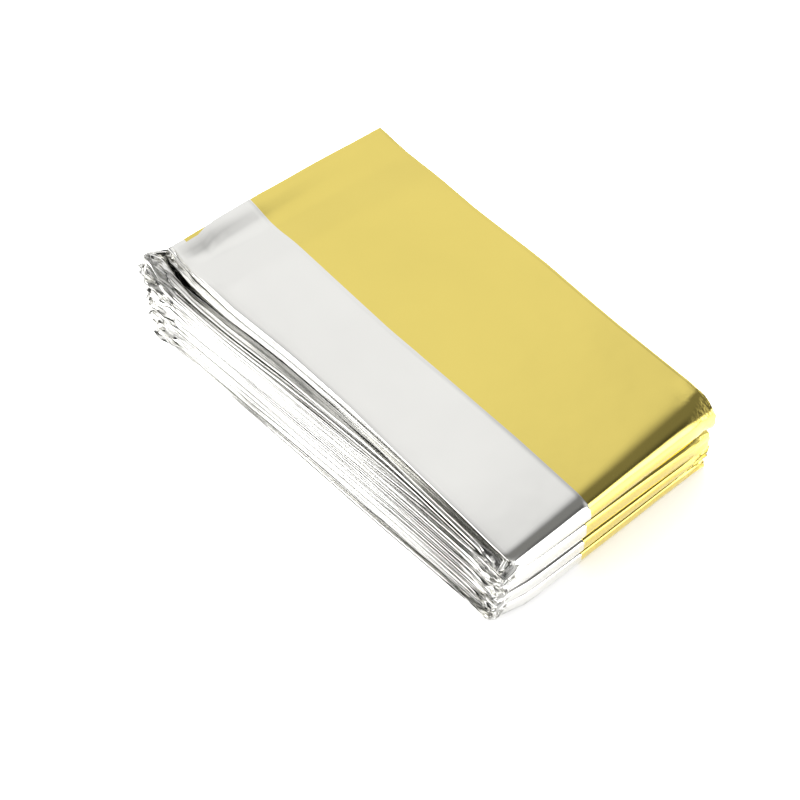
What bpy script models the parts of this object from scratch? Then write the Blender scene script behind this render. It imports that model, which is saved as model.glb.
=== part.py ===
"""Emergency foil blanket, folded into its packet: one sheet of film, gold on one face, silver on the other.

The sheet is pleated lengthwise into a long strip, the strip is folded in half across, and the doubled
strip is then folded back and forth into eight bundles. Each half of the strip is one band of pressed
film here, so the solid is the sixteen-layer section of the packet, carried across its width. It has
round folds at both ends, loose pleats fanned out along the near side, and the narrow silver flap on top.

Metres, +Z up. +X runs along the long edges, and -Y is the near side, where the pleats fan out. The
packet rests on z = 0 with the middle of its box over the origin.
"""

import math
from collections import namedtuple

import bmesh
import bpy

MM = 0.001

# The packet
LENGTH = 133.0 * MM  # over the end folds
TOP_WIDTH = 69.5 * MM  # of the flat top, between the long edges
HEIGHT = 27.5 * MM
LAYER_GAP = 0.4 * MM  # air between two bands
EDGE_ROUND = 1.0 * MM  # a band gets thinner over this distance from its long edge
EDGE_THIN = 0.55  # the share of its thickness left at the long edge

# The silver flap: the sheet's first, narrow pleat, which ends in the cut edge on the top
FLAP_WIDTH = 25.5 * MM
FLAP_STEP = 0.35 * MM  # how far it stands above the gold pleat beside it
STEP_RUN = 0.6 * MM

# The near side leans out, and fans open towards the left end
FAN_LEFT = 12.0 * MM
FAN_RIGHT = 2.2 * MM
FAN_POWER_LEFT = 4.0
FAN_POWER_RIGHT = 1.5
FAN_FAR = 1.5 * MM  # the far side is nearly upright

# How the packet has settled: a trough across the top near its left end, a raised left corner under
# the fan, and a slow wave along it
TROUGH_DEPTH = 0.7 * MM
TROUGH_INSET = 8.0 * MM
TROUGH_WIDTH = 3.5 * MM
CORNER_LIFT = 1.2 * MM
CORNER_REACH = 22.0 * MM
WAVE_HEIGHT = 0.35 * MM
WAVE_LENGTH = 58.0 * MM

# A row for each bundle of the doubled strip, top to bottom. Heights are shares of the packet's height:
# at the left end, and at the near and far corners of the right end. Insets are those of the bundle's
# fold or cut end from the packet's end. A corner of 2 is round, and a higher one is squarer.
Bundle = namedtuple("Bundle", "left right_near right_far left_inset right_inset corner")
BUNDLES = (
    Bundle(3.5, 3.6, 6.0, left_inset=2.0 * MM, right_inset=0.0 * MM, corner=3.5),
    Bundle(4.2, 3.6, 6.0, left_inset=0.0 * MM, right_inset=0.0 * MM, corner=2.2),
    Bundle(4.2, 3.9, 3.4, left_inset=0.0 * MM, right_inset=0.7 * MM, corner=2.0),
    Bundle(3.2, 3.9, 3.4, left_inset=1.1 * MM, right_inset=0.7 * MM, corner=2.0),
    Bundle(3.2, 3.4, 2.3, left_inset=1.1 * MM, right_inset=0.3 * MM, corner=2.0),
    Bundle(2.9, 3.4, 2.3, left_inset=0.5 * MM, right_inset=0.3 * MM, corner=2.0),
    Bundle(2.9, 2.9, 2.1, left_inset=0.5 * MM, right_inset=0.9 * MM, corner=2.0),
    Bundle(2.9, 2.9, 2.1, left_inset=1.4 * MM, right_inset=0.9 * MM, corner=2.0),
)
CUT_END_INSET = 1.4 * MM  # the lower band's cut end, back from the upper one's
FOLD_DEPTH = 0.8  # an end fold's reach along X, as a share of its half height
END_ZONE = 14.0 * MM  # heights stay level this far in from each end
LAST = len(BUNDLES) - 1
ROUND = 2.0
LEFT, RIGHT = -1, 1

# The strip's two halves lie either side of the doubled strip's middle. A place across the doubled strip
# runs from -1 to 1, with the half that is on top of the packet from 0 to 1.
UPPER_HALF, LOWER_HALF = 1, -1

# Fineness of the mesh
RUN_SPOTS = 8
TOP_RUN_SPOTS = 16
BEND_SPOTS = 6

GOLD = (0.76, 0.60, 0.18, 1.0)
SILVER = (0.80, 0.80, 0.79, 1.0)

# The fan makes the near side deeper than the far one, and the box is centred on the origin
TOP_CENTRE_Y = (FAN_LEFT - FAN_FAR) / 2
NEAR_TOP_Y = TOP_CENTRE_Y - TOP_WIDTH / 2
FAR_TOP_Y = TOP_CENTRE_Y + TOP_WIDTH / 2
FLAP_EDGE_Y = NEAR_TOP_Y + FLAP_WIDTH

# Places along the band: in a straight run, in an end fold, and in the fold across the strip's middle
Run = namedtuple("Run", "bundle share")
Bend = namedtuple("Bend", "bundle angle")
MiddleFold = namedtuple("MiddleFold", "angle")

# A cut across the band: its y, and its share of the way across the top
Slice = namedtuple("Slice", "y across at_long_edge on_flap")


def smooth(share):
    """0 to 1 with level ends."""
    share = min(max(share, 0.0), 1.0)
    return share * share * (3 - 2 * share)


def blend(low, high, share):
    return low + (high - low) * share


def row_share(row, end, across):
    return row.left if end == LEFT else blend(row.right_near, row.right_far, across)


def end_height(bundle, end, across):
    """The height that a bundle takes up at one end, with the air around its bands."""
    total = sum(row_share(row, end, across) for row in BUNDLES)
    return (HEIGHT + LAYER_GAP) * row_share(BUNDLES[bundle], end, across) / total


def bundle_height(bundle, x, across):
    share = smooth((x + LENGTH / 2 - END_ZONE) / (LENGTH - 2 * END_ZONE))
    return blend(end_height(bundle, LEFT, across), end_height(bundle, RIGHT, across), share)


def bundle_top(bundle, x, across):
    above = sum(bundle_height(other, x, across) for other in range(bundle))
    return HEIGHT + LAYER_GAP / 2 - above


def fold_depth(bundle, end, across):
    """How far the fold from this bundle into the next one reaches along X."""
    mean = (end_height(bundle, end, across) + end_height(bundle + 1, end, across)) / 2
    return FOLD_DEPTH * mean


def outer_x(bundle, end):
    row = BUNDLES[bundle]
    return end * (LENGTH / 2 + LAYER_GAP / 2 - (row.left_inset if end == LEFT else row.right_inset))


def run_end_x(bundle, end, across, half):
    """Where a bundle's straight run stops: at a cut end, at the middle fold or at an end fold."""
    if end == LEFT and bundle == 0:
        return outer_x(bundle, LEFT) + (CUT_END_INSET if half == LOWER_HALF else 0.0)
    if end == LEFT and bundle == LAST:
        return outer_x(bundle, LEFT) + end_height(bundle, LEFT, across) / 2
    upper = bundle - 1 if (bundle % 2 == 1) == (end == RIGHT) else bundle
    return outer_x(bundle, end) - end * fold_depth(upper, end, across)


def squared(angle, corner):
    """A point on a round or a squarer quarter: how far out, and how far up."""
    out = math.cos(angle) ** (2 / corner)
    up = abs(math.sin(angle)) ** (2 / corner)
    return out, math.copysign(up, angle)


def place_across(half, through, height, level, cut):
    """A place across the doubled strip, through one band from its back (0) to its flap face (1)."""
    gap = LAYER_GAP / height
    sunk = 0.0 if cut.on_flap else FLAP_STEP * (1 - level / LAST)
    return half * blend(gap, 1 - gap - 2 * sunk / height, through)


def run_point(spot, half, through, cut):
    left = run_end_x(spot.bundle, LEFT, cut.across, half)
    right = run_end_x(spot.bundle, RIGHT, cut.across, half)
    x = blend(left, right, spot.share)
    height = bundle_height(spot.bundle, x, cut.across)
    up = RIGHT if spot.bundle % 2 == 0 else LEFT
    place = place_across(half, through, height, spot.bundle, cut)
    return x, bundle_top(spot.bundle, x, cut.across) - height / 2 + up * place * height / 2


def bend_point(spot, half, through, cut):
    end = RIGHT if spot.bundle % 2 == 0 else LEFT
    below = (1 - math.sin(spot.angle)) / 2
    upper_height = end_height(spot.bundle, end, cut.across)
    lower_height = end_height(spot.bundle + 1, end, cut.across)
    height = blend(upper_height, lower_height, below)
    place = place_across(half, through, height, spot.bundle + below, cut)
    outward = (1 + end * place) / 2
    quarter = BUNDLES[spot.bundle if spot.angle > 0 else spot.bundle + 1]
    out, up = squared(spot.angle, quarter.corner if end == RIGHT else ROUND)
    depth = fold_depth(spot.bundle, end, cut.across)
    x = outer_x(spot.bundle, end) - end * depth * (1 - outward * out)
    pivot_z = bundle_top(spot.bundle + 1, end * LENGTH / 2, cut.across)
    return x, pivot_z + (upper_height if up > 0 else lower_height) * outward * up


def middle_fold_point(spot, through, cut):
    height = end_height(LAST, LEFT, cut.across)
    reach = place_across(1, through, height, LAST, cut) * height / 2
    centre_x = run_end_x(LAST, LEFT, cut.across, UPPER_HALF)
    centre_z = bundle_top(LAST, centre_x, cut.across) - height / 2
    return centre_x - reach * math.cos(spot.angle), centre_z + reach * math.sin(spot.angle)


def section_point(spot, half, through, cut):
    """The x and z of a point of the band: at a spot along it, and through its thickness."""
    if isinstance(spot, Run):
        return run_point(spot, half, through, cut)
    if isinstance(spot, Bend):
        return bend_point(spot, half, through, cut)
    return middle_fold_point(spot, through, cut)


def half_strip_spots(half):
    """Spots from the cut end to the middle fold, down through the bundles."""
    spots = []
    for bundle in range(len(BUNDLES)):
        count = TOP_RUN_SPOTS if bundle == 0 and half == UPPER_HALF else RUN_SPOTS
        shares = [number / (count - 1) for number in range(count)]
        goes_right = bundle % 2 == 0
        spots += [Run(bundle, share if goes_right else 1 - share) for share in shares]
        if bundle < len(BUNDLES) - 1:
            spots += [Bend(bundle, angle) for angle in bend_angles()]
    return spots


def bend_angles():
    """From straight up to straight down, without the two ends."""
    return [math.pi / 2 - math.pi * number / (BEND_SPOTS + 1) for number in range(1, BEND_SPOTS + 1)]


def height_share(z):
    return min(max(z / HEIGHT, 0.0), 1.0)


def near_y(x, z):
    """The near long edge: nearly upright at the right end, fanned open at the left."""
    share = (x + LENGTH / 2) / LENGTH
    reach = blend(FAN_LEFT, FAN_RIGHT, share)
    power = blend(FAN_POWER_LEFT, FAN_POWER_RIGHT, share)
    return NEAR_TOP_Y - reach * (1 - height_share(z) ** power)


def far_y(z):
    return FAR_TOP_Y + FAN_FAR * math.sqrt(1 - height_share(z))


def inner_slice(y):
    across = (y - NEAR_TOP_Y) / TOP_WIDTH
    return Slice(lambda x, z: y, across, False, y < FLAP_EDGE_Y)


# From the near long edge to the far one
SLICES = (
    Slice(near_y, 0.0, True, True),
    Slice(lambda x, z: near_y(x, z) + EDGE_ROUND, 0.0, False, True),
    inner_slice(blend(NEAR_TOP_Y, FLAP_EDGE_Y, 0.5)),
    inner_slice(FLAP_EDGE_Y - STEP_RUN / 2),
    inner_slice(FLAP_EDGE_Y + STEP_RUN / 2),
    inner_slice(blend(FLAP_EDGE_Y, FAR_TOP_Y, 0.33)),
    inner_slice(blend(FLAP_EDGE_Y, FAR_TOP_Y, 0.67)),
    Slice(lambda x, z: far_y(z) - EDGE_ROUND, 1.0, False, False),
    Slice(lambda x, z: far_y(z), 1.0, True, False),
)


def settled_z(x, y, z):
    """The height of a point once the packet has settled unevenly. The underside stays flat."""
    from_left = x + LENGTH / 2
    up = height_share(z)
    trough = TROUGH_DEPTH * math.exp(-(((from_left - TROUGH_INSET) / TROUGH_WIDTH) ** 2))
    lift = CORNER_LIFT * smooth((NEAR_TOP_Y - y) / FAN_LEFT) * math.exp(-from_left / CORNER_REACH)
    wave = WAVE_HEIGHT * math.sin(2 * math.pi * (x + y / 2) / WAVE_LENGTH)
    return z + lift * up - trough * up**3 + wave * up * math.sin(math.pi * up)


def band_points(spot, half, flap_face):
    """The points of one face of the band at a spot, near to far."""
    points = []
    for cut in SLICES:
        thick = EDGE_THIN if cut.at_long_edge else 1.0
        through = (1 + thick) / 2 if flap_face else (1 - thick) / 2
        x, z = section_point(spot, half, through, cut)
        y = cut.y(x, z)
        points.append((x, y, settled_z(x, y, z)))
    return points


def foil_material(name, colour):
    material = bpy.data.materials.new(name)
    material.use_nodes = True
    shader = material.node_tree.nodes["Principled BSDF"]
    shader.inputs["Base Color"].default_value = colour
    shader.inputs["Metallic"].default_value = 1.0
    shader.inputs["Roughness"].default_value = 0.22
    material.diffuse_color = colour
    return material


def make_blanket():
    """The folded sheet: one closed band, skinned from slice to slice and from spot to spot."""
    band = [(spot, UPPER_HALF) for spot in half_strip_spots(UPPER_HALF)]
    band += [(MiddleFold(-angle), UPPER_HALF) for angle in bend_angles()]
    band += [(spot, LOWER_HALF) for spot in reversed(half_strip_spots(LOWER_HALF))]
    mesh = bmesh.new()
    rows = []
    for spot, half in band:
        flap_face = [mesh.verts.new(point) for point in band_points(spot, half, True)]
        back_face = [mesh.verts.new(point) for point in band_points(spot, half, False)]
        rows.append(flap_face + back_face[::-1])
    gold, silver = 0, 1
    ring = 2 * len(SLICES)
    on_flap = sum(cut.on_flap for cut in SLICES)
    for this, following in zip(rows, rows[1:]):
        for corner in range(ring):
            other = (corner + 1) % ring
            face = mesh.faces.new((this[corner], this[other], following[other], following[corner]))
            face.material_index = gold if on_flap - 1 <= corner < len(SLICES) else silver
    for row in (rows[0], rows[-1]):
        for near in range(len(SLICES) - 1):
            under = ring - 1 - near
            face = mesh.faces.new((row[near], row[near + 1], row[under - 1], row[under]))
            face.material_index = silver
    bmesh.ops.recalc_face_normals(mesh, faces=mesh.faces)
    data = bpy.data.meshes.new("foil_blanket")
    mesh.to_mesh(data)
    mesh.free()
    data.materials.append(foil_material("gold_film", GOLD))
    data.materials.append(foil_material("silver_film", SILVER))
    data.shade_smooth()
    data.set_sharp_from_angle(angle=math.radians(50))
    blanket = bpy.data.objects.new("foil_blanket", data)
    bpy.context.scene.collection.objects.link(blanket)


for existing in list(bpy.data.objects):
    bpy.data.objects.remove(existing, do_unlink=True)

make_blanket()
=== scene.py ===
"""A folded foil blanket as one thin film. The whole sheet is pleated lengthwise into a strip. The strip is
folded in half, and then back and forth into its packet, on the folds of its CAD solid.

x runs along the packet, and y across it from the near side to the far one. Lengths are in millimetres until
the mesh is made. Depths count bands, the layers of the folded strip, down from the packet's top."""

import itertools
import math
from collections import namedtuple

import bpy
import numpy as np
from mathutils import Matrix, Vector


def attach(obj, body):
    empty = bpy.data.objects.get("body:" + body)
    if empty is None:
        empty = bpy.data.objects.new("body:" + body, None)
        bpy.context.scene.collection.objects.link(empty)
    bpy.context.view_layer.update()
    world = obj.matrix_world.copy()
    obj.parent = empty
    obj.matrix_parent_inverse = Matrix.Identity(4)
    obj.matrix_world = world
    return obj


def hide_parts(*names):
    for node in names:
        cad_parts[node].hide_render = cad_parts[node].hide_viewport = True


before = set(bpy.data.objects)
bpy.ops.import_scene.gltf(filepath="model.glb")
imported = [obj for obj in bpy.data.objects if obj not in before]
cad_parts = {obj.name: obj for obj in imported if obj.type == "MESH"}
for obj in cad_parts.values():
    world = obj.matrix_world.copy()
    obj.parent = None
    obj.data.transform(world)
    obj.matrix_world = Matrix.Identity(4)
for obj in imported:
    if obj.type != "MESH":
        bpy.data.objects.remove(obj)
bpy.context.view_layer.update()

METRES_PER_MM = 0.001

# ---------------------------------------------------------------- the packet, as in the CAD source
LENGTH = 133.0
TOP_WIDTH = 69.5
HEIGHT = 27.5
BAND_GAP = 0.22  # air between the strip's two halves, and between bundles
FLAP_WIDTH = 25.5
NEAR_TOP_Y = -29.5
HALF = LENGTH / 2
LEFT, RIGHT = -1, 1
UPPER, LOWER = 1, -1
END_ZONE = 14.0  # the bundles keep an end's heights this far in from it
FOLD_DEPTH = 0.8  # of an end fold, as a share of its two bundles' mean height

# The doubled strip's eight layers, from the top down. Heights are in proportion to each other: at the left
# end, and at the near and far corners of the right end. An inset is how far in a bundle's end lies, and a
# corner is how square its half of a right fold is, where 2 is round.
Bundle = namedtuple("Bundle", "left right_near right_far left_inset right_inset corner")
BUNDLES = (
    Bundle(3.5, 3.6, 6.0, left_inset=0.2, right_inset=0.2, corner=3.5),
    Bundle(4.2, 3.6, 6.0, left_inset=0.0, right_inset=0.2, corner=2.6),
    Bundle(4.2, 3.9, 3.4, left_inset=0.0, right_inset=0.8, corner=3.2),
    Bundle(3.2, 3.9, 3.4, left_inset=1.1, right_inset=0.8, corner=2.6),
    Bundle(3.2, 3.4, 2.3, left_inset=1.1, right_inset=0.7, corner=3.2),
    Bundle(2.9, 3.4, 2.3, left_inset=0.5, right_inset=0.7, corner=2.6),
    Bundle(2.9, 2.9, 2.1, left_inset=0.5, right_inset=0.8, corner=3.2),
    Bundle(2.9, 2.9, 2.1, left_inset=1.4, right_inset=0.8, corner=2.4),
)
LAST = len(BUNDLES) - 1
BANDS = 2 * len(BUNDLES)  # a band is one half of the strip in one bundle
PLEATS = 20  # the first is the flap

# The crease on the top fold: the film rolls over a soft shoulder, and turns sharply down at the crease
SHOULDER_DROP = 0.2  # share of the fold's upper height
SHOULDER_POWER = 2.4
SHOULDER_ANGLES = 0.55  # share of the quarter turn that lies before the crease
SHOULDER_REACH = (5.0, 11.5)  # at the near side and at the far one
SHOULDER_WIDENS = 1.5  # the power with which that widens
CREASE_OUT = 0.72  # share of the reach that lies before the crease
BELOW_CREASE_POWER = 1.8  # how steeply the film turns down beyond the crease
LEFT_CORNER = 2.0  # how square the left end's folds are


def smooth(share):
    share = np.clip(share, 0.0, 1.0)
    return share * share * (3 - 2 * share)


def rise(value, start, reach):
    """A smooth rise from 0 at the start to 1, over the reach."""
    return smooth((value - start) / reach)


def blend(low, high, share):
    return low + (high - low) * share


def along(table, x):
    """The value at x in a table of (x, value) pairs, straight between them."""
    places, values = zip(*table)
    return np.interp(x, places, values)


# Primes and shifts that turn a lattice corner's numbers into a value that looks random
SEED_PRIME, SEED_START = 7919, 17
CELL_PRIME, MIX_PRIME = np.uint64(2654435761), np.uint64(1274126177)
FIRST_SHIFT, SECOND_SHIFT = np.uint64(13), np.uint64(16)
LARGEST = 0xFFFFFFFF
CELLS_BELOW_ZERO = 4096


def value_noise(seed, *cells):
    """Smooth noise from -1 to 1 at points given in lattice cells."""
    cells = np.broadcast_arrays(*[np.asarray(cell, float) for cell in cells])
    starts = [np.floor(cell) for cell in cells]
    shares = [smooth(cell - start) for cell, start in zip(cells, starts)]
    total = 0.0
    for corner in itertools.product((0, 1), repeat=len(cells)):
        weight = 1.0
        key = np.full(cells[0].shape, seed * SEED_PRIME + SEED_START, np.uint64)
        for start, share, step in zip(starts, shares, corner):
            weight = weight * (share if step else 1 - share)
            key = key * CELL_PRIME + (start + step + CELLS_BELOW_ZERO).astype(np.uint64)
            key = (key ^ (key >> FIRST_SHIFT)) * MIX_PRIME
            key = (key ^ (key >> SECOND_SHIFT)) & np.uint64(LARGEST)
        total = total + weight * (key.astype(float) / LARGEST)
    return 2 * total - 1


# An unevenness: how much it is, and how long its cell is along each of its axes, such as x, y or depth
Noise = namedtuple("Noise", "seed size cell")


def noise_at(noise, *places, shift=0):
    cells = (place / length for place, length in zip(places, noise.cell))
    return noise.size * value_noise(noise.seed + shift, *cells)


# ---------------------------------------------------------------- the strip's fold mapping
# Here across is the share of the way across the strip, from 0 at the near side to 1 at the far one.
def row_share(row, end, across):
    return row.left + 0 * across if end == LEFT else blend(row.right_near, row.right_far, across)


def end_height(bundle, end, across):
    total = sum(row_share(row, end, across) for row in BUNDLES)
    return (HEIGHT + BAND_GAP) * row_share(BUNDLES[bundle], end, across) / total


def bundle_height(bundle, x, across):
    share = rise(x, END_ZONE - HALF, LENGTH - 2 * END_ZONE)
    return blend(end_height(bundle, LEFT, across), end_height(bundle, RIGHT, across), share)


def bundle_top(bundle, x, across):
    above = sum(bundle_height(other, x, across) for other in range(bundle))
    return HEIGHT + BAND_GAP / 2 - above


def fold_depth(bundle, end, across):
    """How far in from its outermost line a bundle's lower end fold starts."""
    if bundle == 0:
        return blend(*SHOULDER_REACH, across**SHOULDER_WIDENS)
    mean = (end_height(bundle, end, across) + end_height(bundle + 1, end, across)) / 2
    return FOLD_DEPTH * mean


def outer_x(bundle, end):
    row = BUNDLES[bundle]
    return end * (HALF + BAND_GAP / 2 - (row.left_inset if end == LEFT else row.right_inset))


def run_end_x(bundle, end, across, cut_inset=0.0):
    if end == LEFT and bundle == 0:
        return outer_x(bundle, LEFT) + cut_inset
    if end == LEFT and bundle == LAST:
        return outer_x(bundle, LEFT) + end_height(bundle, LEFT, across) / 2
    upper = bundle - 1 if (bundle % 2 == 1) == (end == RIGHT) else bundle
    return outer_x(bundle, end) - end * fold_depth(upper, end, across)


def quarter(angle, corner, creased):
    """How far out and how far up a bend is at an angle, on a round, squarer or creased quarter."""
    if creased and angle > 0:
        turned = 1 - angle / (math.pi / 2)
        if turned <= SHOULDER_ANGLES:
            out = turned / SHOULDER_ANGLES
            return CREASE_OUT * out, 1 - SHOULDER_DROP * out**SHOULDER_POWER
        up = 1 - (turned - SHOULDER_ANGLES) / (1 - SHOULDER_ANGLES)
        return 1 - (1 - CREASE_OUT) * up**BELOW_CREASE_POWER, (1 - SHOULDER_DROP) * up
    out = max(math.cos(angle), 0.0) ** (2 / corner)
    up = abs(math.sin(angle)) ** (2 / corner)
    return out, math.copysign(up, angle)


# ---------------------------------------------------------------- the sheet's grid
# A column crosses the strip: the pleat, the pleat it shares the column with (itself, unless the column is a
# fold), its share of the way to the far side, millimetres beyond that, and how many fold heights beyond that.
Column = namedtuple("Column", "pleat shared far offset nose")
NOSE = 0.75  # how deep a fold's round nose is, as a share of its height
FLAT_NOSES = (0.3, 0.2)  # near folds are pressed flat to this share of it: clear of the slope, and on it
NEAR_STEPS = (0.35, 1.3, 4.0)  # millimetres from a near fold
FAR_STEPS = {0: (2.0, 0.5), 1: (6.5, 5.0, 3.6, 2.3, 1.1)}  # millimetres from a far fold
INNER_FAR_STEPS = (2.0,)
FLAP_SHARES = (0.28, 0.42, 0.56, 0.7, 0.84)
SHARE_OF_TOP = FLAP_WIDTH / TOP_WIDTH
BESIDE_FLAP_SHARES = (0.345, 0.375, 0.41, 0.47, 0.54, 0.61, 0.68, 0.75, 0.81, 0.865)
MIDDLE_SHARES = {0: FLAP_SHARES, 1: tuple(s * SHARE_OF_TOP for s in FLAP_SHARES) + BESIDE_FLAP_SHARES}
INNER_MIDDLE_SHARES = (0.5,)


def joined_pleat(pleat, at_near):
    """The pleat beyond a pleat's near or far fold, or the pleat itself at the sheet's cut edges."""
    onwards = (pleat % 2 == 0) == at_near
    return np.clip(np.where(onwards, pleat + 1, pleat - 1), 0, PLEATS - 1)


def pleat_columns(pleat):
    """From the pleat's near fold to its far one, or to its cut edge."""
    beside, beyond = joined_pleat(pleat, at_near=True), joined_pleat(pleat, at_near=False)
    columns = [Column(pleat, beside, 0.0, 0.0, 0.0), Column(pleat, pleat, 0.0, 0.0, NOSE)]
    columns += [Column(pleat, pleat, 0.0, step, 0.0) for step in NEAR_STEPS]
    shares = MIDDLE_SHARES.get(pleat, INNER_MIDDLE_SHARES)
    columns += [Column(pleat, pleat, share, 0.0, 0.0) for share in shares]
    steps = FAR_STEPS.get(pleat, INNER_FAR_STEPS)
    columns += [Column(pleat, pleat, 1.0, -step, 0.0) for step in steps]
    return columns + [Column(pleat, pleat, 1.0, 0.0, -NOSE), Column(pleat, beyond, 1.0, 0.0, 0.0)]


def sheet_columns():
    """Across the sheet: the flap's cut edge, near fold, far fold, and so on down to the last cut edge."""
    columns = pleat_columns(0)[::-1]
    for pleat in range(1, PLEATS):
        mine = pleat_columns(pleat)
        columns += mine[1:] if pleat % 2 == 1 else mine[-2::-1]
    return columns


# A row follows the strip: in a straight run, in an end fold, or in the fold across the strip's middle
Run = namedtuple("Run", "half bundle share")
Bend = namedtuple("Bend", "half bundle angle")
MiddleFold = namedtuple("MiddleFold", "angle")
RUN_LENGTH = 126.0  # about, of a straight run
END_STEPS = (0.0, 1.2, 2.6, 4.2, 6.4, 9.4, 13.5, 18.5)  # millimetres from a run's end
TOP_RUN_ROWS = 32
RUN_ROWS = 8
LIP_SHARE = -0.0001  # a row just beyond a cut end, where the film's edge turns down
DENT_SHARES = (0.264, 0.276, 0.288)  # more rows for the dents, in the last bundle
OUTER_BEND_ROWS = 12
INNER_BEND_ROWS = 4
TOP_BEND_ROWS = 18


def run_shares(count):
    """Rows close together near the two ends of a run, and even between."""
    ends = [step / RUN_LENGTH for step in END_STEPS]
    middle = np.linspace(ends[-1], 1 - ends[-1], count + 2)[1:-1]
    return ends + list(middle) + [1 - share for share in reversed(ends)]


def bend_angles(count):
    return [math.pi / 2 - math.pi * number / (count + 1) for number in range(1, count + 1)]


def lower_end(bundle):
    """The end where the strip turns down from this bundle to the next."""
    return RIGHT if bundle % 2 == 0 else LEFT


def is_outside(half, end):
    """Whether this half of the strip is the outer one in the folds at that end."""
    return half * end > 0


def half_strip(half):
    rows = []
    for bundle in range(len(BUNDLES)):
        on_top = bundle == 0 and half == UPPER
        shares = run_shares(TOP_RUN_ROWS if on_top else RUN_ROWS)
        if bundle == LAST:
            shares = sorted([*shares, *DENT_SHARES])
        if bundle == 0:
            shares = [LIP_SHARE, *shares]
        rows += [Run(half, bundle, share if bundle % 2 == 0 else 1 - share) for share in shares]
        if bundle < LAST:
            outside = is_outside(half, lower_end(bundle))
            count = TOP_BEND_ROWS if on_top else OUTER_BEND_ROWS if outside else INNER_BEND_ROWS
            rows += [Bend(half, bundle, angle) for angle in bend_angles(count)]
    return rows


def sheet_rows():
    rows = half_strip(UPPER)
    rows += [MiddleFold(-angle) for angle in bend_angles(OUTER_BEND_ROWS)]
    return rows + half_strip(LOWER)[::-1]


# ---------------------------------------------------------------- how thick the folds are at an edge
# Where edges lie, as (x, y): the top's near edge, the bottom's near edge, the flap's cut edge, the far edge
NEAR_EDGE = ((-66.5, -31.0), (-55.0, -31.9), (-38.0, -31.6), (-17.0, -29.8), (5.0, -28.9), (66.5, -28.8))
BOTTOM_EDGE = ((-66.5, -40.8), (-47.0, -39.3), (-27.0, -37.9), (-8.0, -36.3), (21.0, -33.9), (66.5, -29.9))
FLAP_EDGE = ((-66.0, -4.6), (-47.0, -5.0), (-6.0, -5.2), (18.0, -4.4), (41.0, -3.7), (66.0, -3.6))
FAR_EDGE = ((-66.0, 41.0), (-23.0, 40.4), (4.0, 41.2), (31.0, 41.0), (66.0, 41.3))

# A dark slot runs between the top bundle's edges and the next bundle's, from the left end
SLOT_FOLDS = {1: slice(0, 1), 2: slice(0, 4)}  # the folds set back there, by band
SLOT_FATNESS = (0.8, 0.12)  # of those folds, at the left end and where it is narrow
SLOT_NARROWS = 28.0
# How unevenly the folds share a band's height between them, where they come to an edge
NEAR_BULK = Noise(9, size=2.4, cell=(60.0, 1))
FAR_BULK = Noise(40, size=2.4, cell=(60.0, 1))
GAP_BULK = 0.12  # the gap between two folds, where an even fold is 1
EVEN_PLACES = 1 - (np.arange(PLEATS) + 0.5) / PLEATS  # away from the edges


def pleat_places(x, band, near):
    """Each pleat's share of the way through the half strip at an edge, where some folds are fatter."""
    folds = np.arange(PLEATS // 2 if near else PLEATS // 2 - 1)
    fatness = np.exp(noise_at(NEAR_BULK if near else FAR_BULK, x, folds + PLEATS * band))
    if near and band in SLOT_FOLDS:
        fatness[SLOT_FOLDS[band]] = blend(*SLOT_FATNESS, rise(x, -HALF, SLOT_NARROWS))
    steps = np.full(PLEATS - 1, GAP_BULK)
    steps[0 if near else 1 :: 2] = fatness
    if not near:
        steps[0] = steps[-1] = 1.0
    places = np.concatenate([[0.0], np.cumsum(steps)]) / steps.sum()
    return 1 - (0.5 + places * (PLEATS - 1)) / PLEATS


# ---------------------------------------------------------------- the near side and the far one
# How far the near side's folds lean out at the two ends, as shares of the way to the bottom edge, by depth
Fan = namedtuple("Fan", "depth left right")
FAN = (
    Fan(0.0, left=0.0, right=0.0),
    Fan(1.9, left=0.24, right=0.12),
    Fan(2.42, left=0.26, right=0.13),
    Fan(2.52, left=0.56, right=0.15),
    Fan(3.2, left=0.78, right=0.21),
    Fan(4.0, left=0.95, right=0.28),
    Fan(6.0, left=1.0, right=0.45),
    Fan(16.0, left=1.0, right=1.0),
)
# Towards its right end the near side is one slope, which takes in less of the lower bands: shares by depth.
# A value named for a rise is a pair, here and below: where a smooth rise starts, and its reach.
SLOPE_SHARES = ((0.0, 1.0), (3.0, 1.0), (6.0, 0.95), (10.0, 0.8), (16.0, 0.5))
SLOPE_RISE = (-8.0, 60.0)
WHOLE_SLOPE_RISE = (38.0, 22.0)
# Clear of that slope the fan goes down in ledges
STAIRS = 2.5  # in a band
STAIR_NOISE = Noise(7, size=0.4, cell=(1 / 1.3,))
STAIRS_RISE = (2.55, 0.2)
# Each band stands proud or back, faces up or down, and does so differently along its length. Pairs are for
# places clear of the slope, and for places on it.
PROUD = (Noise(3, size=0.45, cell=(46.0, 1)), Noise(4, size=0.2, cell=(25.0, 1)))
LEAN = (0.25, 1.9)
LEAN_NOISE = Noise(5, size=1.0, cell=(38.0, 1))
LEAN_VARIES = (0.25, 0.5)
BAND_ROUND = 0.3  # how far a band's two edges draw back
CLUMP_NOISE = Noise(8, size=0.13, cell=(55.0, 1 / 2.3))
JITTER_NOISE = Noise(6, size=1.0, cell=(45.0, 0.1))
JITTER = (0.11, 0.06)
SETTLING = 0.55  # how much calmer the lower bands are
SETTLING_RISE = (4.0, 5.0)
STRAIGHT_DEPTH = 1.2  # the flap's own fold is straight
# The slot, and how far the folds at its back are in
SLOT_DEPTH = 2.15
SLOT_HALF_HEIGHT = 0.25
SLOT_EDGE = 0.05
SLOT_RECESS = 7.0
SLOT_REACH = 125.0
SLOT_FADES = 0.2  # the share of its reach over which it fades
SLOT_START_RISE = (-HALF - 1.5, 2.5)  # at the left end
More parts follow.
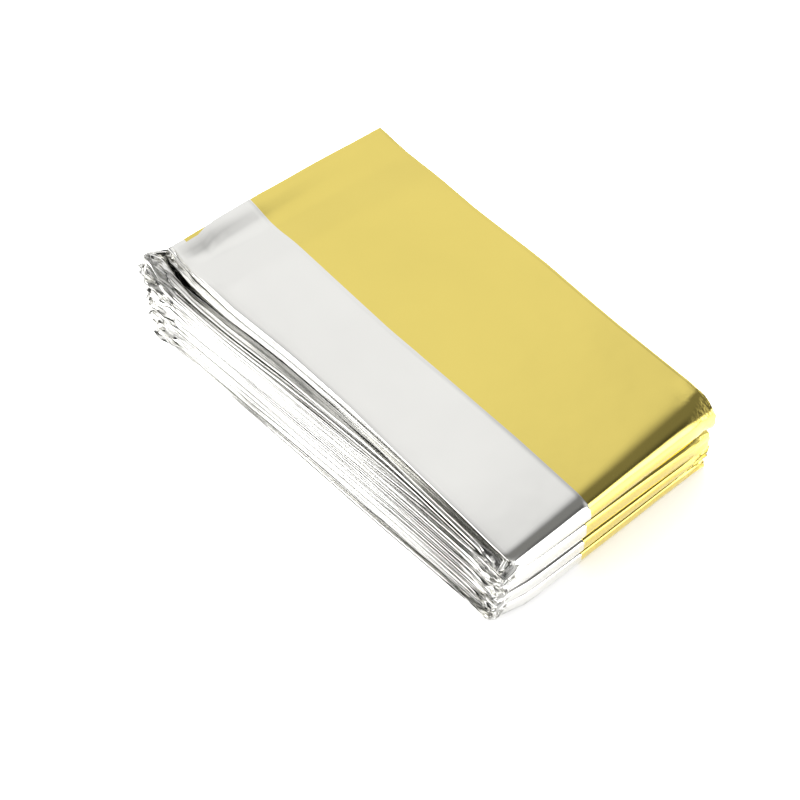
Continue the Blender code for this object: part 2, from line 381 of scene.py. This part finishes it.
# Towards the right end, the first folds are tucked in under the top's edge
TUCK = 1.3
TUCK_DEPTHS = (0.25, 1.8)
TUCK_FADES = (0.15, 0.5)
TUCK_RISE = (-5.0, 60.0)
# The lowest folds stand out as a thin edge along the floor
HEM_OUT = (0.45, 1.0)  # at the left and at the right
HEM_OUT_RISE = (-20.0, 50.0)
HEM_RISE = (15.0, 0.5)
# Small dents near the floor
Dent = namedtuple("Dent", "x depth reach_x reach_depth inward")
DENTS = (
    Dent(-29.5, 15.0, 1.5, 0.6, inward=3.0),
    Dent(-27.5, 14.3, 1.2, 0.4, inward=1.8),
)
# The far side is calm
FAR_PROUD = (Noise(13, size=0.3, cell=(50.0, 1)), Noise(14, size=0.15, cell=(19.0, 1)))
FAR_LEAN = Noise(15, size=0.5, cell=(40.0, 1))
FAR_JITTER = Noise(16, size=0.12, cell=(28.0, 0.1))
FAR_STRAIGHT_DEPTH = 1.5


def in_band(depth):
    """The band at a depth, and the share of the way down it."""
    band = np.clip(np.floor(depth), 0, BANDS - 1)
    return band, depth - band


def shingled(part, lean):
    """How far out a fold is by its share of the way down its band: a band leans, and its edges draw back."""
    return lean * (part - 0.5) - BAND_ROUND * (2 * part - 1) ** 2


def on_slope(x, depth):
    """How far a point is on the near side's slope, which widens towards its right end."""
    return rise(x, *SLOPE_RISE) * blend(along(SLOPE_SHARES, depth), 1.0, rise(x, *WHOLE_SLOPE_RISE))


def fan_y(x, depth, even_depth, slope):
    """Where the near side would be, were it smooth but for its ledges."""
    stair = (np.floor(even_depth * STAIRS + noise_at(STAIR_NOISE, even_depth)) + 0.5) / STAIRS
    on_stairs = (1 - slope) * rise(even_depth, *STAIRS_RISE)
    depths, left_shares, right_shares = zip(*FAN)
    left = np.interp(blend(depth, stair, on_stairs), depths, left_shares)
    right = np.interp(depth, depths, right_shares)
    lean_share = blend(left, right, np.clip((x + HALF) / LENGTH, 0, 1))
    return blend(along(NEAR_EDGE, x), along(BOTTOM_EDGE, x), lean_share)


def near_unevenness(x, depth, slope):
    """How far out a near fold stands, by its band and its place in it."""
    band, part = in_band(depth)
    settling = 1 - SETTLING * rise(depth, *SETTLING_RISE)
    proud = settling * sum(noise_at(noise, x, band) for noise in PROUD)
    lean = blend(*LEAN, slope) + settling * blend(*LEAN_VARIES, slope) * noise_at(LEAN_NOISE, x, band)
    clump = settling * noise_at(CLUMP_NOISE, x, depth)
    jitter = blend(*JITTER, slope) * noise_at(JITTER_NOISE, x, depth)
    return (proud + shingled(part, lean) + clump + jitter) * smooth(depth / STRAIGHT_DEPTH)


def slot_share(x, even_depth):
    ahead = 1 - rise(x, -HALF, SLOT_REACH)
    inside = rise(-np.abs(even_depth - SLOT_DEPTH), -SLOT_HALF_HEIGHT, SLOT_EDGE)
    return inside * smooth(ahead / SLOT_FADES) * rise(x, *SLOT_START_RISE)


def tuck_share(x, even_depth):
    below = rise(even_depth, TUCK_DEPTHS[0], TUCK_FADES[0])
    above = rise(-even_depth, -TUCK_DEPTHS[1], TUCK_FADES[1])
    return below * above * rise(x, *TUCK_RISE)


def dented(x, depth):
    inward = 0.0
    for dent in DENTS:
        away = ((x - dent.x) / dent.reach_x) ** 2 + ((depth - dent.depth) / dent.reach_depth) ** 2
        inward = inward + dent.inward * np.exp(-away)
    return inward


def near_fold_y(x, depth, even_depth):
    """Where a near fold lies, by its depth, and by the depth it would have if all folds were even."""
    slope = on_slope(x, depth)
    slot = slot_share(x, even_depth)
    hem = blend(*HEM_OUT, rise(x, *HEM_OUT_RISE)) * rise(depth, *HEM_RISE)
    loose_y = fan_y(x, depth, even_depth, slope) - near_unevenness(x, depth, slope) * (1 - slot)
    return loose_y + SLOT_RECESS * slot + TUCK * tuck_share(x, even_depth) - hem + dented(x, depth)


def far_fold_y(x, depth):
    band, part = in_band(depth)
    proud = sum(noise_at(noise, x, band) for noise in FAR_PROUD)
    lean = noise_at(FAR_LEAN, x, band)
    uneven = proud + shingled(part, lean) + noise_at(FAR_JITTER, x, depth)
    return along(FAR_EDGE, x) + uneven * smooth(depth / FAR_STRAIGHT_DEPTH)


# ---------------------------------------------------------------- how the whole packet settles
# A soft trough runs across the top near its left end. Pairs are for the near side and the far one.
TROUGH_DEPTH = 1.8
TROUGH_INSET = 9.5
TROUGH_SLANT = 4.0  # how much further in it is at the far side
TROUGH_WIDTH = (5.6, 9.0)
TROUGH_FROM_Y = -25.0
TROUGH_FADES = 66.0
TROUGH_FAR_SHARE = 0.45
TROUGH_RISE = (-36.0, 9.0)  # over y, at the near side
# The top is a little wavy and dented
WAVE_HEIGHT = 0.35
WAVE_LENGTH = 58.0
TOP_DENTS = (Noise(21, size=0.16, cell=(22.0, 18.0)), Noise(22, size=0.04, cell=(9.0, 8.0)))
SINK_POWER, DENT_POWER = 3, 4  # how fast the trough and roll, and the dents, fade below the top
ROLL = 0.12  # how far the top's near edge rolls down
ROLL_WIDTH = 0.6
# The fan's top pleats spring up at the left end
LIFT = 4.4
LIFT_REACH = 13.0
LIFT_RISE = (0.8, 5.0)  # from the top's near edge outwards
# Beside the top's near edge, the pleats of the next bundle stand up from a narrow valley: where, as shares of
# the way to the bottom edge, how far up, and how far along
VALLEY_FROM, VALLEY_TO = 0.25, 0.37
VALLEY_HEIGHT = 0.3
VALLEY_REACH = 78.0
LOOSE_DEPTH = 9.0  # the bands below it lie flat
LOOSE_FADES = 5.5

# Where the film is crumpled: the corner, how far from it, how much, and how far inside the top's near edge it
# starts
Crumple = namedtuple("Crumple", "x y reach_x reach_y sideways upwards inside")
CRUMPLES = (
    Crumple(-66.5, -38.5, 15.0, 8.5, 1.6, 1.2, inside=0.8),
    Crumple(-66.5, -33.5, 14.0, 3.5, 0.7, 0.9, inside=0.2),
    Crumple(66.5, -31.0, 13.0, 5.0, 1.9, 1.3, inside=0.3),
    Crumple(66.5, 41.5, 12.0, 9.0, 0.6, 0.7, inside=200.0),
    Crumple(-29.0, -38.5, 4.0, 2.2, 1.8, 1.2, inside=0.0),
    Crumple(-19.0, -36.5, 3.0, 2.0, 1.0, 0.8, inside=0.0),
)
COARSE_CRUMPLE = Noise(50, size=0.75, cell=(3.6, 2.0, 1 / 1.5))
FINE_CRUMPLE = Noise(90, size=0.6, cell=(4.4, 0.2))
CRUMPLE_EDGE = 1.2  # where a crumple ends, as a share of its reach
CRUMPLE_STARTS = 1.5  # how far out from its start it is whole
CRUMPLE_CLEARANCE = 3.0  # below this height, it moves the film less and less up or down


def trough_depth(x, y, across):
    middle = TROUGH_INSET + TROUGH_SLANT * across
    shape = np.exp(-(((x + HALF - middle) / blend(*TROUGH_WIDTH, across)) ** 2))
    towards_far = np.clip((y - TROUGH_FROM_Y) / TROUGH_FADES, 0, 1)
    return TROUGH_DEPTH * shape * blend(1.0, TROUGH_FAR_SHARE, towards_far) * rise(y, *TROUGH_RISE)


def crumpled(x, y, z, depth, out):
    """The point moved by the crumples, and how crumpled the film is there."""
    most = 0.0 * x
    for number, place in enumerate(CRUMPLES):
        near = smooth(CRUMPLE_EDGE - np.abs(x - place.x) / place.reach_x)
        near = near * smooth(CRUMPLE_EDGE - np.abs(y - place.y) / place.reach_y)
        near = near * rise(out, -place.inside, CRUMPLE_STARTS)
        shifts = [3 * number + axis for axis in range(3)]
        coarse = [noise_at(COARSE_CRUMPLE, x, y, depth, shift=shift) for shift in shifts]
        fine = [noise_at(FINE_CRUMPLE, x, depth, shift=shift) for shift in shifts]
        moved = [one + other for one, other in zip(coarse, fine)]
        x = x + place.sideways * near * moved[0]
        y = y + place.sideways * near * moved[1]
        z = z + place.upwards * near * moved[2] * np.clip(z / CRUMPLE_CLEARANCE, 0, 1)
        most = np.maximum(most, near)
    return x, y, z, most


def settled_point(x, y, z, depth):
    """A point of the evenly stacked packet moved to where it settles, and how crumpled the film is there."""
    from_left = x + HALF
    up = np.clip(z / HEIGHT, 0, 1)
    near_edge = along(NEAR_EDGE, x)
    out = near_edge - y
    fan_share = out / (near_edge - along(BOTTOM_EDGE, x))
    across = (y - NEAR_TOP_Y) / TOP_WIDTH
    wave = WAVE_HEIGHT * np.sin(2 * np.pi * (x + y / 2) / WAVE_LENGTH)
    dents = sum(noise_at(noise, x, y) for noise in TOP_DENTS)
    roll = ROLL * np.exp(-np.clip(-out, 0, None) / ROLL_WIDTH)
    spring = LIFT * rise(out, *LIFT_RISE) * np.exp(-np.clip(from_left, 0, None) / LIFT_REACH)
    valley = rise(fan_share, VALLEY_FROM, VALLEY_TO - VALLEY_FROM) * (1 - smooth(from_left / VALLEY_REACH))
    loose = rise(-depth, -LOOSE_DEPTH, LOOSE_FADES)
    z = z + (spring + VALLEY_HEIGHT * valley) * loose
    z = z - (trough_depth(x, y, across) + roll) * up**SINK_POWER
    z = z + wave * up * np.sin(np.pi * up) + dents * up**DENT_POWER
    return crumpled(x, y, z, depth, out)


# How far each bundle's end folds stand out at the near corners, beyond the rest of the end, and where
Corner = namedtuple("Corner", "end out from_y reach_y reach_x")
CORNERS = (
    Corner(LEFT, (0.0, 3.4, 2.8, 2.3, 2.0, 1.2, 0.8, 0.2), from_y=-31.0, reach_y=7.0, reach_x=20.0),
    Corner(RIGHT, (0.0, 0.0, -0.3, -0.6, -0.8, -1.0, -1.4, -1.8), from_y=-20.0, reach_y=10.0, reach_x=14.0),
)


def at_corners(x, y, bundle_level):
    """x, where the end folds stand out or draw back near the near long edge."""
    moved = x
    for corner in CORNERS:
        out = np.interp(bundle_level, range(len(BUNDLES)), corner.out)
        at_end = rise(corner.end * x, HALF - corner.reach_x, corner.reach_x)
        moved = moved + corner.end * out * rise(-y, -corner.from_y, corner.reach_y) * at_end
    return moved


# ---------------------------------------------------------------- the film's points
CUT_END = ((0.0, 0.3), (0.4, 0.0), (0.8, 1.1), (1.0, 1.8))  # how far the top's cut end lies in, by across
CUT_END_NOISE = Noise(33, size=0.15, cell=(1 / 6, 1))
CUT_PLEAT_NOISE = Noise(31, size=0.12, cell=(1, 0.2))
CUT_STEP_OUT = 0.6  # how much further out the cut ends lie at the foot of a half strip than at its top
CUT_LIP = 0.07  # how far the film's cut ends turn down
FLAP_END_INSET = 1.7  # the flap's end is short of the pleat under it, near its fold
FLAP_END_RISE = (0.12, 0.05)
END_RIPPLES = (Noise(41, size=0.16, cell=(34.0, 1 / 1.5)), Noise(42, size=0.06, cell=(9.0, 1 / 3)))
OPEN_REACH = 9.0  # how far in from an edge its folds' uneven thickness reaches
SAG = 0.2  # how much closer together the inner pleats lie, away from their folds
SAG_REACH = 8.0
# The flap stands a little above the pleat it lies on, and presses that pleat down
FLAP_RISE = 0.18
FLAP_EDGE_ROUND = 0.3
PRESS_RISE = (0.7, 1.5)
# How strong the fine crumple of the film is
CRUMPLE_GRAIN = 0.3
SIDE_GRAIN = 0.08  # on the right half of the near side
SIDE_GRAIN_FROM = 1.0  # outwards of the top's near edge
SIDE_GRAIN_REACH = 1.5
SIDE_GRAIN_RISE = (-15.0, 50.0)


def row_bands(row):
    """The bands that a row lies in, with each one's weight, and about where it is along the strip."""
    if isinstance(row, MiddleFold):
        lower = (1 - math.sin(row.angle)) / 2
        return ((2 * LAST + 1, lower), (2 * LAST, 1 - lower)), -HALF
    if isinstance(row, Run):
        up = (1 if row.bundle % 2 == 0 else -1) * row.half
        return ((2 * row.bundle + (0 if up > 0 else 1), 1.0),), blend(-HALF, HALF, row.share)
    end = lower_end(row.bundle)
    below = (1 - math.sin(row.angle)) / 2
    first = 2 * row.bundle
    upper, lower = (first, first + 3) if is_outside(row.half, end) else (first + 1, first + 2)
    return ((upper, 1 - below), (lower, below)), end * HALF


def is_top_run(row):
    return not isinstance(row, MiddleFold) and row.half == UPPER and row.bundle == 0


def within(through, height):
    """A share of the way through the half strip, without the air beside it, in a bundle of this height."""
    gap = BAND_GAP / height
    return blend(gap, 1 - gap, through)


def cut_end_inset(half, pleat, across):
    """How far in the strip's cut ends lie."""
    layer = (pleat + 0.5) / PLEATS if half == UPPER else 2 - (pleat + 0.5) / PLEATS
    short = np.where(pleat == 0, FLAP_END_INSET * (1 - rise(across, *FLAP_END_RISE)), 0.0)
    uneven = along(CUT_END, across) + noise_at(CUT_END_NOISE, across, 0) + short - CUT_STEP_OUT * layer
    return uneven + np.where(pleat > 1, noise_at(CUT_PLEAT_NOISE, pleat, across), 0.0)


def run_place(row, through, pleat, across):
    left = run_end_x(row.bundle, LEFT, across, cut_end_inset(row.half, pleat, across))
    right = run_end_x(row.bundle, RIGHT, across)
    x = blend(left, right, row.share)
    height = bundle_height(row.bundle, x, across)
    place = (1 if row.bundle % 2 == 0 else -1) * row.half * within(through, height)
    z = bundle_top(row.bundle, x, across) - height / 2 + place * height / 2
    return x, z - (CUT_LIP if row.share < 0 else 0.0), 2 * row.bundle + 1 - place


def middle_fold_place(row, through, across):
    height = end_height(LAST, LEFT, across)
    reach = within(through, height) * height / 2
    centre_x = run_end_x(LAST, LEFT, across)
    centre_z = bundle_top(LAST, centre_x, across) - height / 2
    up = reach * math.sin(row.angle)
    return centre_x - reach * math.cos(row.angle), centre_z + up, 2 * LAST + 1 - up * 2 / height


def bend_place(row, through, across):
    end = lower_end(row.bundle)
    below = (1 - math.sin(row.angle)) / 2
    upper_height = end_height(row.bundle, end, across)
    lower_height = end_height(row.bundle + 1, end, across)
    outward = (1 + end * row.half * within(through, blend(upper_height, lower_height, below))) / 2
    corner = BUNDLES[row.bundle if row.angle > 0 else row.bundle + 1].corner if end == RIGHT else LEFT_CORNER
    out, up = quarter(row.angle, corner, row.bundle == 0)
    x = outer_x(row.bundle, end) - end * fold_depth(row.bundle, end, across) * (1 - outward * out)
    pivot_z = bundle_top(row.bundle + 1, end * HALF, across)
    z = pivot_z + (upper_height if up > 0 else lower_height) * outward * up
    depth = 2 * (row.bundle + 1) - 2 * outward * up
    ripple = sum(noise_at(noise, across * TOP_WIDTH, depth) for noise in END_RIPPLES)
    return x + end * ripple * out, z, depth


def strip_place(row, through, pleat, across):
    """x, z and depth of the strip at a row, for shares of the way through the half strip."""
    if isinstance(row, MiddleFold):
        return middle_fold_place(row, through, across)
    if isinstance(row, Run):
        return run_place(row, through, pleat, across)
    return bend_place(row, through, across)


def film_points(rows, columns):
    """The grid's points, in millimetres, and how fine-crumpled the film is at each."""
    pleat, shared, far, offset, nose = (np.array(values) for values in zip(*columns))
    at_near, at_far = far == 0.0, far == 1.0
    at_fold = at_near | (at_far & (pleat > 0))
    near_pair = (pleat, joined_pleat(pleat, at_near=True))
    far_pair = (pleat, joined_pleat(pleat, at_near=False))
    open_share = 1 - smooth(np.abs(offset) / OPEN_REACH)
    from_fold = np.where(at_near | at_far, np.clip(np.abs(offset) / SAG_REACH, 0, 1), 1.0)
    sag = np.where(pleat > 1, SAG * from_fold, 0.0)
    across = np.clip(np.where(pleat == 0, far * SHARE_OF_TOP, far) + offset / TOP_WIDTH, 0, 1)
    points = np.zeros((len(rows), len(columns), 3))
    grain = np.zeros((len(rows), len(columns)))

    def fold_depth_at(row, places, pair):
        """How deep down a fold lies, halfway between the two pleats that meet in it."""
        return strip_place(row, (places[pair[0]] + places[pair[1]]) / 2, pleat, across)[2]

    def fold_height(places, pair):
        return np.abs(places[pair[0]] - places[pair[1]]) * HEIGHT / BANDS

    for number, row in enumerate(rows):
        bands, row_x = row_bands(row)
        near_places, far_places = (
            sum(weight * pleat_places(row_x, band, near) for band, weight in bands) for near in (True, False)
        )
        places = []
        for one in (pleat, shared):
            even = EVEN_PLACES[one]
            at_edge = blend(even, np.where(at_near, near_places[one], far_places[one]), open_share)
            places.append(np.where(at_fold, at_edge, even))
        x, z, depth = strip_place(row, (places[0] + places[1]) / 2 * (1 - sag), pleat, across)
        near_depth = fold_depth_at(row, near_places, near_pair)
        near_y = near_fold_y(x, near_depth, fold_depth_at(row, EVEN_PLACES, near_pair))
        far_y = far_fold_y(x, fold_depth_at(row, far_places, far_pair))
        far_y = np.where(pleat == 0, along(FLAP_EDGE, x), far_y)
        near_nose = fold_height(near_places, near_pair) * blend(*FLAT_NOSES, on_slope(x, depth))
        nose_depth = np.where(at_near, near_nose, fold_height(far_places, far_pair))
        y = blend(near_y, far_y, far) + offset + nose * nose_depth
        x = at_corners(x, y, depth / 2)
        x, y, z, crumple = settled_point(x, y, z, depth)
        if is_top_run(row):
            in_from_cut = along(FLAP_EDGE, x) - y
            z = z + np.where(pleat == 0, FLAP_RISE * smooth(in_from_cut / FLAP_EDGE_ROUND), 0.0)
            z = z - np.where(pleat == 1, FLAP_RISE * rise(in_from_cut, *PRESS_RISE), 0.0)
        points[number] = np.stack([x, y, z], axis=-1)
        beside = rise(-y, SIDE_GRAIN_FROM - NEAR_TOP_Y, SIDE_GRAIN_REACH) * rise(x, *SIDE_GRAIN_RISE)
        grain[number] = np.maximum(CRUMPLE_GRAIN * crumple, SIDE_GRAIN * beside)
    return points, grain


# ---------------------------------------------------------------- materials
SILVER = (0.875, 0.87, 0.84)
GOLD = (0.835, 0.68, 0.18)
ROUGHNESS = 0.12
ROUGHNESS_RANGE = (0.8 * ROUGHNESS, 1.3 * ROUGHNESS)
DULLEST_TINT = 0.965  # share of the colour
NOISE_MIDRANGE = (0.3, 0.7)  # where most of a noise texture's values lie
# A noise texture: its scale per metre, its detail, and how each axis is stretched
Texture = namedtuple("Texture", "scale detail stretch", defaults=((1.0, 1.0, 1.0),))
TINT_TEXTURE = Texture(38.0, 3.0)
ROUGHNESS_TEXTURE = Texture(70.0, 4.0)
SOFT_DENTS = Texture(90.0, 2.0)
SOFT_DENT_HEIGHT, SOFT_DENT_STRENGTH = 0.0006, 0.10
FINE_CRUMPLES = Texture(750.0, 3.0, stretch=(0.6, 1.0, 1.0))
FINE_CRUMPLE_HEIGHT = 0.0004


def film_material(name, colour):
    material = bpy.data.materials.new(name)
    material.use_nodes = True
    nodes, links = material.node_tree.nodes, material.node_tree.links
    shader = nodes["Principled BSDF"]
    shader.inputs["Metallic"].default_value = 1.0
    coordinates = nodes.new("ShaderNodeTexCoord").outputs["Object"]

    def noise(texture):
        mapping = nodes.new("ShaderNodeMapping")
        mapping.inputs["Scale"].default_value = texture.stretch
        links.new(coordinates, mapping.inputs["Vector"])
        node = nodes.new("ShaderNodeTexNoise")
        node.inputs["Scale"].default_value = texture.scale
        node.inputs["Detail"].default_value = texture.detail
        links.new(mapping.outputs["Vector"], node.inputs["Vector"])
        return node.outputs["Fac"]

    def spread(value, low, high):
        node = nodes.new("ShaderNodeMapRange")
        for socket, number in zip(("From Min", "From Max", "To Min", "To Max"), (*NOISE_MIDRANGE, low, high)):
            node.inputs[socket].default_value = number
        links.new(value, node.inputs["Value"])
        return node.outputs["Result"]

    def bump(texture, height):
        node = nodes.new("ShaderNodeBump")
        node.inputs["Distance"].default_value = height
        links.new(noise(texture), node.inputs["Height"])
        return node

    tint = nodes.new("ShaderNodeMix")
    tint.data_type = "RGBA"
    links.new(spread(noise(TINT_TEXTURE), 0.0, 1.0), tint.inputs["Factor"])
    tint.inputs["A"].default_value = (*(DULLEST_TINT * channel for channel in colour), 1.0)
    tint.inputs["B"].default_value = (*colour, 1.0)
    links.new(tint.outputs["Result"], shader.inputs["Base Color"])
    links.new(spread(noise(ROUGHNESS_TEXTURE), *ROUGHNESS_RANGE), shader.inputs["Roughness"])

    # wide soft dents all over, and a fine crumple where the mesh says how much
    dents = bump(SOFT_DENTS, SOFT_DENT_HEIGHT)
    dents.inputs["Strength"].default_value = SOFT_DENT_STRENGTH
    crumples = bump(FINE_CRUMPLES, FINE_CRUMPLE_HEIGHT)
    grain = nodes.new("ShaderNodeAttribute")
    grain.attribute_name = "grain"
    links.new(grain.outputs["Fac"], crumples.inputs["Strength"])
    links.new(dents.outputs["Normal"], crumples.inputs["Normal"])
    links.new(crumples.outputs["Normal"], shader.inputs["Normal"])
    material.diffuse_color = (*colour, 1.0)
    return material


# ---------------------------------------------------------------- the film
TOP_RUN_ROOM = 6.0  # in the bake map, where an inner part has 1
TOP_PLEAT_ROOM = 5.0
LEAST_ROOM = 0.3  # millimetres added to every step of the grid there
GOLD_OVERLAP = 1.2  # how far the gold reaches under the flap's cut edge
SLIVER_REACH = 2.0  # the gold sliver that shows at the top's left end: from that end
SLIVER_OUT = 1.6  # outwards of the top's near edge
SLIVER_THICK = 1.5  # down from the top
SHARP_ANGLE = 50.0  # degrees between two faces


def add_bake_map(mesh, points, rows, columns):
    """One flat chart of the whole sheet, with more room for the parts that show."""
    weights = (
        np.array([TOP_RUN_ROOM if is_top_run(row) else 1.0 for row in rows]),
        np.array([TOP_PLEAT_ROOM if column.pleat < 2 else 1.0 for column in columns]),
    )
    shares = []
    for axis, weight in enumerate(weights):
        step = np.linalg.norm(np.diff(points, axis=axis), axis=2).mean(axis=1 - axis)
        room = np.concatenate([[0.0], np.cumsum((step + LEAST_ROOM) * weight[1:])])
        shares.append(room / room[-1])
    chart = np.stack(np.meshgrid(*shares, indexing="ij"), axis=-1).reshape(-1, 2)
    corners = np.empty(len(mesh.loops), np.int32)
    mesh.loops.foreach_get("vertex_index", corners)
    mesh.uv_layers.new(name="OFBake").data.foreach_set("uv", chart[corners].astype(np.float32).ravel())


def shows_gold(points, columns):
    """For each face of the grid, whether it is gold: beyond the flap, and on the sliver at the left end."""
    x, y, z = np.moveaxis((points[:-1, :-1] + points[1:, 1:]) / 2, -1, 0)
    pleat = np.array([column.pleat for column in columns])
    on_flap = (pleat[:-1] == 0) & (pleat[1:] == 0)
    beyond_flap = (y > along(FLAP_EDGE, x) - GOLD_OVERLAP) & ~on_flap
    sliver = (x < -HALF + SLIVER_REACH) & (y > NEAR_TOP_Y - SLIVER_OUT) & (pleat[:-1] == 1)
    return beyond_flap | (sliver & (z > HEIGHT - SLIVER_THICK))


def make_film():
    rows, columns = sheet_rows(), sheet_columns()
    points, grain = film_points(rows, columns)
    index = np.arange(grain.size).reshape(grain.shape)
    quads = np.stack([index[:-1, :-1], index[:-1, 1:], index[1:, 1:], index[1:, :-1]], axis=-1).reshape(-1, 4)
    mesh = bpy.data.meshes.new("foil_blanket_film")
    mesh.from_pydata((points.reshape(-1, 3) * METRES_PER_MM).tolist(), [], quads.tolist())
    mesh.attributes.new("grain", "FLOAT", "POINT").data.foreach_set("value", grain.astype(np.float32).ravel())
    mesh.materials.append(film_material("silver_film", SILVER))
    mesh.materials.append(film_material("gold_film", GOLD))
    mesh.polygons.foreach_set("material_index", shows_gold(points, columns).astype(np.int32).ravel())
    add_bake_map(mesh, points, rows, columns)
    mesh.shade_smooth()
    mesh.set_sharp_from_angle(angle=math.radians(SHARP_ANGLE))
    film = bpy.data.objects.new("foil_blanket_film", mesh)
    bpy.context.scene.collection.objects.link(film)
    return film


film = make_film()
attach(film, "root")
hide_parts("foil_blanket")


# ---------------------------------------------------------------- floor, lights and camera, in metres
FLOOR_REACH = 3.0  # each way from the middle
FLOOR_COLOUR = (0.86, 0.86, 0.86, 1.0)
FLOOR_ROUGHNESS = 0.9


def make_floor():
    mesh = bpy.data.meshes.new("floor")
    corners = [(-1, -1), (1, -1), (1, 1), (-1, 1)]
    mesh.from_pydata([(x * FLOOR_REACH, y * FLOOR_REACH, 0) for x, y in corners], [], [(0, 1, 2, 3)])
    material = bpy.data.materials.new("floor_white")
    material.use_nodes = True
    shader = material.node_tree.nodes["Principled BSDF"]
    shader.inputs["Base Color"].default_value = FLOOR_COLOUR
    shader.inputs["Roughness"].default_value = FLOOR_ROUGHNESS
    shader.inputs["Specular IOR Level"].default_value = 0.0
    mesh.materials.append(material)
    floor = bpy.data.objects.new("floor", mesh)
    bpy.context.scene.collection.objects.link(floor)
    return floor


make_floor()

# Square lamps that light the floor and aren't mirrored in the film. Radiance is how bright a mirror would
# show one.
Lamp = namedtuple("Lamp", "name place side radiance")
LAMPS = (
    Lamp("overhead", (0, 0, 4.0), side=12.0, radiance=1.35),
    Lamp("floor_lamp", (-0.72, -0.10, 0.48), side=0.25, radiance=110.0),
)


def add_lamp(lamp):
    data = bpy.data.lights.new(lamp.name, "AREA")
    data.shape = "RECTANGLE"
    data.size = data.size_y = lamp.side
    data.energy = lamp.radiance * math.pi * lamp.side**2
    added = bpy.data.objects.new(lamp.name, data)
    added.location = lamp.place
    added.rotation_mode = "QUATERNION"
    added.rotation_quaternion = (Vector((0, 0, 0)) - Vector(lamp.place)).to_track_quat("-Z", "Y")
    added.visible_camera = False
    added.visible_glossy = False
    bpy.context.scene.collection.objects.link(added)


for lamp in LAMPS:
    add_lamp(lamp)

# The studio's lights, which the film mirrors, by the direction they come from. In degrees, the half angle is
# how wide each one is from its middle, and its edge is soft for so much inside and outside that.
Light = namedtuple("Light", "x y z half_angle softness colour")
LIGHTS = (
    Light(-0.86, 0.50, 0.0, 47.0, 5.0, (0.95, 0.95, 0.95)),
    Light(-0.71, -0.66, 0.26, 22.0, 3.0, (1.5, 1.5, 1.5)),
    Light(-0.56, -0.42, 0.71, 12.5, 4.5, (1.0, 1.0, 1.0)),
    Light(-0.50, 0.42, 0.76, 21.0, 16.0, (0.98, 0.98, 0.98)),
    Light(0.91, 0.34, 0.22, 18.0, 7.0, (3.5, 3.5, 3.5)),
    Light(0.0, 0.45, 0.88, 32.0, 18.0, (0.22, 0.22, 0.21)),
    Light(0.50, -0.35, 0.79, 42.0, 9.0, (0.60, 0.60, 0.59)),
    Light(0.70, -0.70, 0.20, 40.0, 12.0, (0.75, 0.75, 0.75)),
    Light(0.26, 0.95, 0.17, 33.0, 8.0, (0.80, 0.80, 0.80)),
)
DIM = (0.04, 0.04, 0.04)  # the studio between its lights
BACKGROUND = (1.0, 1.0, 1.0)  # what the camera sees


def studio_world():
    world = bpy.data.worlds.new("studio")
    world.use_nodes = True
    nodes, links = world.node_tree.nodes, world.node_tree.links

    def mixed(factor, first, second, blend_type="MIX"):
        node = nodes.new("ShaderNodeMix")
        node.data_type = "RGBA"
        node.blend_type = blend_type
        by_identifier = {socket.identifier: socket for socket in node.inputs}
        sockets = [by_identifier[name] for name in ("Factor_Float", "A_Color", "B_Color")]
        for socket, value in zip(sockets, (factor, first, second)):
            if isinstance(value, tuple):
                socket.default_value = (*value, 1.0)
            elif isinstance(value, float):
                socket.default_value = value
            else:
                links.new(value, socket)
        return next(socket for socket in node.outputs if socket.identifier == "Result_Color")

    def patch_of(light, direction):
        towards = nodes.new("ShaderNodeVectorMath")
        towards.operation = "DOT_PRODUCT"
        links.new(direction, towards.inputs[0])
        towards.inputs[1].default_value = Vector((light.x, light.y, light.z)).normalized()
        away = nodes.new("ShaderNodeMath")
        away.operation = "ARCCOSINE"
        links.new(towards.outputs["Value"], away.inputs[0])
        edge = nodes.new("ShaderNodeMapRange")
        edge.interpolation_type = "SMOOTHSTEP"
        edge.inputs["From Min"].default_value = math.radians(light.half_angle - light.softness)
        edge.inputs["From Max"].default_value = math.radians(light.half_angle + light.softness)
        edge.inputs["To Min"].default_value = 1.0
        edge.inputs["To Max"].default_value = 0.0
        links.new(away.outputs["Value"], edge.inputs["Value"])
        return mixed(edge.outputs["Result"], DIM, light.colour)

    direction = nodes.new("ShaderNodeTexCoord").outputs["Generated"]
    patches = [patch_of(light, direction) for light in LIGHTS]
    brightest = patches[0]
    for patch in patches[1:]:
        brightest = mixed(1.0, brightest, patch, "LIGHTEN")
    seen = nodes.new("ShaderNodeLightPath").outputs["Is Camera Ray"]
    background = nodes["Background"]
    links.new(mixed(seen, brightest, BACKGROUND), background.inputs["Color"])
    background.inputs["Strength"].default_value = 1.0
    return world


bpy.context.scene.world = studio_world()
bpy.context.scene.view_settings.view_transform = "Standard"

# The camera, fitted to the packet's corners in the photo. Its azimuth is from the near side to the right.
AZIMUTH = math.radians(49.48)
ELEVATION = math.radians(53.6)
DISTANCE = 0.4059
LOOK_AT = Vector((-0.0025, -0.00475, 0.0))
LENS = 67.5
SENSOR_WIDTH = 36.0
CLIP_START = 0.01


def add_camera():
    level = math.cos(ELEVATION)
    back = Vector((math.sin(AZIMUTH) * level, -math.cos(AZIMUTH) * level, math.sin(ELEVATION)))
    data = bpy.data.cameras.new("camera")
    data.lens = LENS
    data.sensor_width = SENSOR_WIDTH
    data.clip_start = CLIP_START
    camera = bpy.data.objects.new("camera", data)
    camera.location = LOOK_AT + back * DISTANCE
    camera.rotation_mode = "QUATERNION"
    camera.rotation_quaternion = (-back).to_track_quat("-Z", "Y")
    bpy.context.scene.collection.objects.link(camera)
    bpy.context.scene.camera = camera


add_camera()
